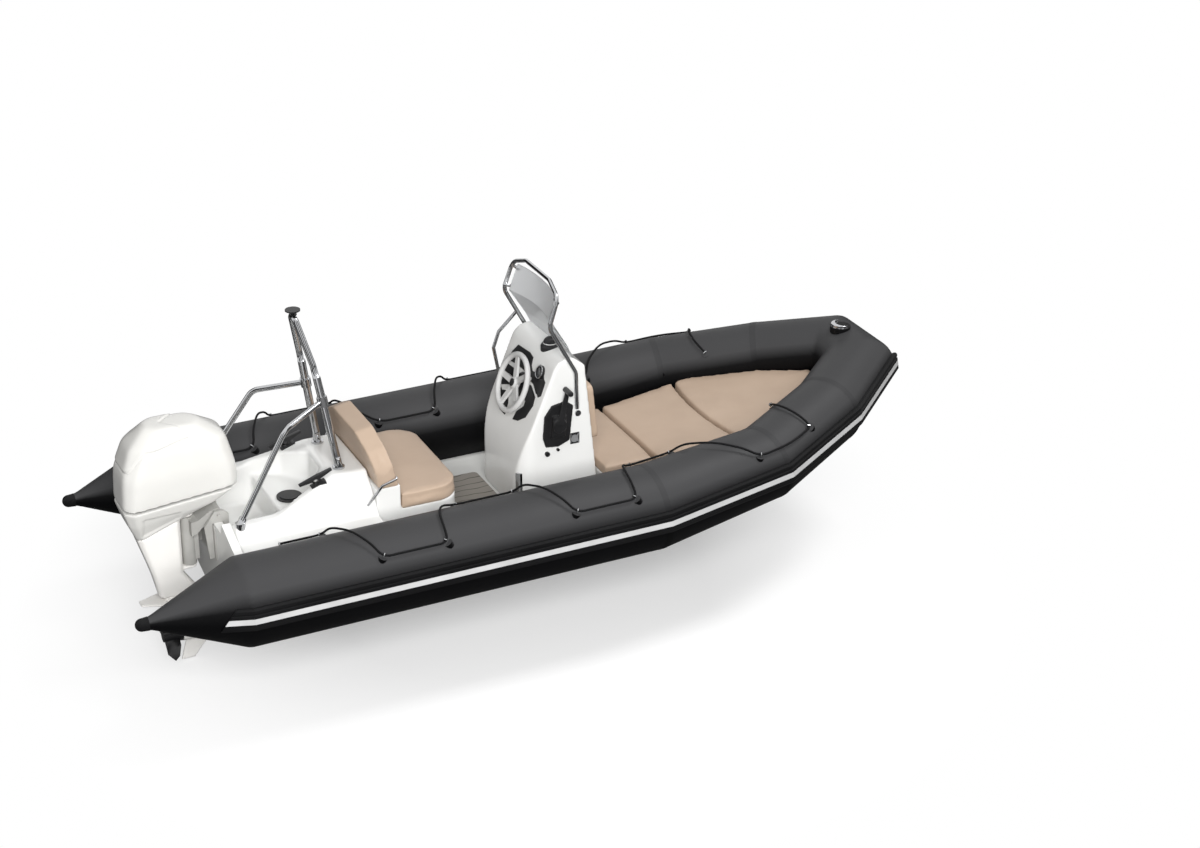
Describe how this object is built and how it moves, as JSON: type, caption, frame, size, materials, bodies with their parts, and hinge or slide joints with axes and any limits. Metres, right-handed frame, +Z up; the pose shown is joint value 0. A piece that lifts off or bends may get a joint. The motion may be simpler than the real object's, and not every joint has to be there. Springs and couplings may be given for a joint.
{
  "type": "inflatable rib boat",
  "caption": "Open rigid inflatable boat with dark tubes, white deck and console, tan cushions, ski arch and a tilting, steering outboard motor.",
  "frame": {"origin": "centreline of the boat at its waterline, below where the tubes' pointed aft ends begin", "axes": "+X forward to the bow along the centreline, +Y to port, +Z up from the waterline"},
  "size_m": [5.1738, 2.1716, 2.1],
  "materials": {
    "tube_fabric": "satin",
    "black_rubber": "matte",
    "stripe_grey": "satin",
    "black_rope": "matte",
    "steel": "polished",
    "black_plastic": "satin",
    "white_plastic": "gloss",
    "grey_plastic": "satin",
    "gelcoat": "gloss",
    "grey_deck": "matte",
    "tan_vinyl": "satin",
    "clear_glass": "gloss",
    "motor_grey": "satin",
    "motor_white": "gloss",
    "motor_silver": "satin",
    "cast_block": "matte",
    "black_aluminium": "satin"
  },
  "bodies": {
    "hull": {"tube_port": "tube_fabric", "tube_starboard": "tube_fabric", "tube_bow": "tube_fabric", "cone_caps": "black_rubber", "rub_strakes": "black_rubber", "rub_stripes": "stripe_grey", "grab_lines": "black_rope", "line_eyes": "steel", "line_patches": "black_rubber", "bow_fairlead": "black_plastic", "hull_bottom": "gelcoat", "bow_eye": "steel", "cockpit_sole": "gelcoat", "nonskid_panel": "grey_deck", "bow_locker": "gelcoat", "bow_cushions": "tan_vinyl", "stern_moulding": "gelcoat", "well_hatch": "white_plastic", "stern_cleats": "black_plastic", "bench_base": "gelcoat", "bench_cushion": "tan_vinyl", "bench_backrest": "tan_vinyl", "hand_rails": "steel", "console_shell": "gelcoat", "dash_panels": "black_plastic", "console_fittings": "black_plastic", "throttle_control": "black_plastic", "compass": "black_plastic", "helm_shaft": "black_plastic", "bow_backrest": "tan_vinyl", "windscreen_frame": "steel", "windscreen_glass": "clear_glass", "arch_legs": "steel", "arch_stays": "steel", "arch_fittings": "steel", "tow_spool": "black_plastic", "transom_pad": "grey_plastic", "engine_clamps": "motor_grey"},
    "motor_swivel": {"engine_swivel": "motor_grey"},
    "motor": {"engine_cowl": "motor_white", "engine_apron": "motor_white", "engine_leg": "motor_silver", "engine_gearcase": "motor_silver", "engine_powerhead": "cast_block"},
    "propeller": {"propeller": "black_aluminium"},
    "helm_wheel": {"steering_wheel": "grey_plastic"}
  },
  "joints": [
    {"name": "engine_tilt", "type": "hinge", "parent": "hull", "child": "motor_swivel", "pos_m": [0.095, 0, 0.4], "axis": [0, 1, 0], "range_deg": [-4, 65]},
    {"name": "engine_steer", "type": "hinge", "parent": "motor_swivel", "child": "motor", "pos_m": [-0.062, 0, 0.2], "axis": [0, 0, 1], "range_deg": [-30, 30]},
    {"name": "propeller_spin", "type": "hinge", "parent": "motor", "child": "propeller", "pos_m": [-0.215, 0, -0.388], "axis": [1, 0, 0], "continuous": true},
    {"name": "steering_wheel_turn", "type": "hinge", "parent": "hull", "child": "helm_wheel", "pos_m": [1.99897, 0, 0.80882], "axis": [0.9235, 0, -0.3837], "range_deg": [-540, 540]}
  ],
  "couplings": [
    {"joint": "steering_wheel_turn", "follows": "engine_steer", "ratio": 18}
  ]
}
